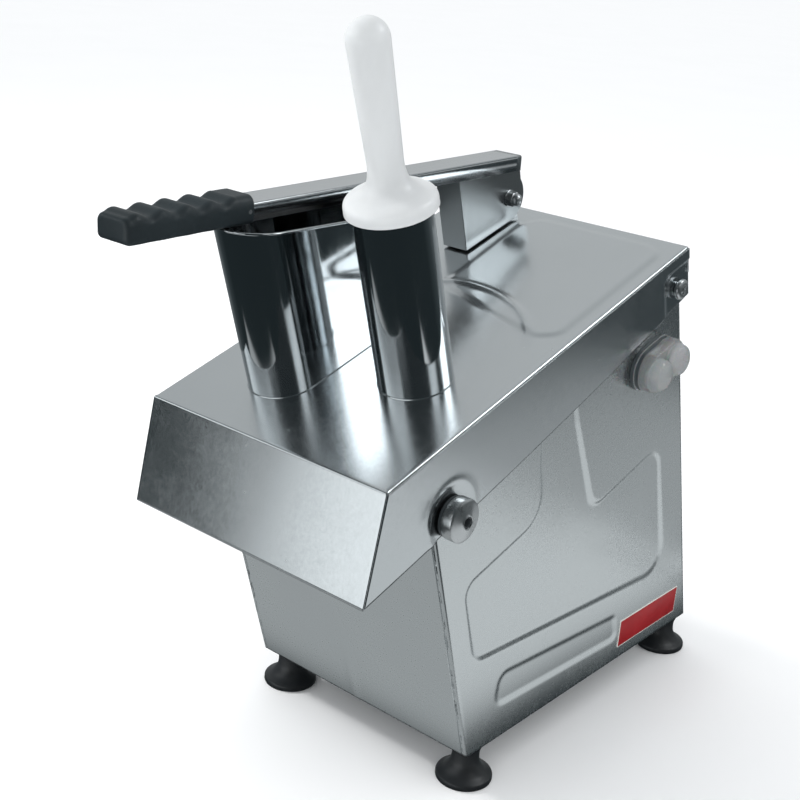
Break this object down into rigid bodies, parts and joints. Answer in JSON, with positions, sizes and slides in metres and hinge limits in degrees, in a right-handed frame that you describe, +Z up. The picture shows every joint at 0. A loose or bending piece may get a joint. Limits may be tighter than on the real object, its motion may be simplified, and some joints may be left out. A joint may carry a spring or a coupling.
{
  "type": "vegetable dicer",
  "caption": "Bench-top electric vegetable cutter with a tilted sheet-steel head, a large lever-fed hopper, a round feed tube with pestle, and rubber feet.",
  "frame": {"origin": "centre of the whole machine's bounding box, on the floor under its feet", "axes": "+Z up, +X towards the operator's right with the lock knob and switch, +Y to the rear; the discharge side faces -Y"},
  "size_m": [0.2704, 0.5906, 0.6106],
  "materials": {
    "casing_steel": "satin ground stainless sheet",
    "lid_steel": "satin stainless sheet, bright folds",
    "polished_steel": "mirror polished stainless",
    "turned_steel": "turned and polished steel",
    "sheet_zinc": "plain machined or sheared steel",
    "cast_aluminium": "cast and machined, satin",
    "blade_steel": "ground edge",
    "grip_rubber": "soft matte moulding",
    "foot_rubber": "black rubber, slight sheen",
    "white_plastic": "milky polyethylene",
    "dark_plastic": "moulded black",
    "seal_rubber": "matte",
    "bezel_grey": "moulded grey",
    "clear_silicone": "clear soft silicone",
    "button_green": "gloss moulded",
    "button_red": "gloss moulded",
    "winding_copper": "lacquered windings and core",
    "capacitor_white": "moulded can",
    "label_red": "plain printed plate"
  },
  "bodies": {
    "housing": {"body_wrap": "casing_steel", "rear_cover": "casing_steel", "rear_cover_screws": "turned_steel", "bottom_plate": "casing_steel", "foot_screws": "turned_steel", "foot_left_front": "foot_rubber", "foot_left_rear": "foot_rubber", "foot_right_front": "foot_rubber", "foot_right_rear": "foot_rubber", "cutting_chamber": "cast_aluminium", "shaft_seal": "seal_rubber", "deck_plate": "sheet_zinc", "bearing_housing": "cast_aluminium", "shaft_bearings": "turned_steel", "motor_casing": "cast_aluminium", "motor_stator": "winding_copper", "motor_bearings": "turned_steel", "motor_plate": "sheet_zinc", "motor_studs": "turned_steel", "drive_belt": "seal_rubber", "run_capacitor": "capacitor_white", "capacitor_clip": "sheet_zinc", "contactor_box": "dark_plastic", "switch_bezel": "bezel_grey", "button_boot": "clear_silicone", "switch_block": "dark_plastic", "interlock_switch": "dark_plastic", "hinge_bolts": "turned_steel", "hinge_bosses": "sheet_zinc", "knob_boss": "sheet_zinc", "cable_gland": "dark_plastic", "label_plate": "label_red"},
    "lid": {"lid_shell": "lid_steel", "large_hopper": "polished_steel", "feed_tube": "polished_steel", "lever_lug": "sheet_zinc", "interlock_magnet": "dark_plastic"},
    "lever": {"lever_arm": "polished_steel", "lever_cheeks": "polished_steel", "lever_pivot_bolt": "turned_steel", "lever_pivot_nut": "turned_steel", "lever_grip": "grip_rubber", "grip_pins": "turned_steel", "pusher_post": "polished_steel", "pusher_plate": "white_plastic"},
    "pestle": {"pestle": "white_plastic"},
    "cutting_rotor": {"drive_shaft": "turned_steel", "driven_pulley": "cast_aluminium", "ejector_plate": "cast_aluminium", "slicing_disc": "cast_aluminium", "disc_blades": "blade_steel", "disc_nut": "turned_steel"},
    "motor_rotor": {"motor_shaft": "turned_steel", "motor_pulley": "cast_aluminium", "cooling_fan": "dark_plastic"},
    "knob_washer": {"knob_washer": "dark_plastic"},
    "lock_knob": {"lock_knob": "turned_steel", "knob_stud": "turned_steel"},
    "start_button": {"start_button": "button_green"},
    "stop_button": {"stop_button": "button_red"}
  },
  "joints": [
    {"name": "lid_hinge", "type": "hinge", "parent": "housing", "child": "lid", "pos_m": [-0.00925, 0.16617, 0.39156], "axis": [-1, 0, 0], "range_deg": [0, 80]},
    {"name": "lever_pivot", "type": "hinge", "parent": "lid", "child": "lever", "pos_m": [-0.06625, 0.13692, 0.44165], "axis": [-1, 0, 0], "range_deg": [0, 75]},
    {"name": "pestle_slide", "type": "slide", "parent": "lid", "child": "pestle", "axis": [0, -0.303, 0.953], "range_m": [0, 0.15]},
    {"name": "disc_spin", "type": "hinge", "parent": "housing", "child": "cutting_rotor", "pos_m": [-0.00925, -0.08003, 0.32861], "axis": [0, -0.303, 0.953], "continuous": true},
    {"name": "motor_spin", "type": "hinge", "parent": "housing", "child": "motor_rotor", "pos_m": [-0.00925, 0.11036, 0.26112], "axis": [0, -0.303, 0.953], "continuous": true},
    {"name": "knob_travel", "type": "slide", "parent": "housing", "child": "knob_washer", "axis": [1, 0, 0], "range_m": [0, 0.00601]},
    {"name": "knob_turn", "type": "hinge", "parent": "knob_washer", "child": "lock_knob", "pos_m": [0.11095, -0.12815, 0.26872], "axis": [1, 0, 0], "range_deg": [0, 1440]},
    {"name": "start_press", "type": "slide", "parent": "housing", "child": "start_button", "axis": [-1, 0, 0], "range_m": [0, 0.003], "stiffness_N_per_m": 900, "springref_m": -0.001},
    {"name": "stop_press", "type": "slide", "parent": "housing", "child": "stop_button", "axis": [-1, 0, 0], "range_m": [0, 0.004], "stiffness_N_per_m": 900, "springref_m": -0.001}
  ],
  "couplings": [
    {"joint": "motor_spin", "follows": "disc_spin", "ratio": 4.6875},
    {"joint": "knob_travel", "follows": "knob_turn", "m_per_rad": 0.00023873}
  ]
}
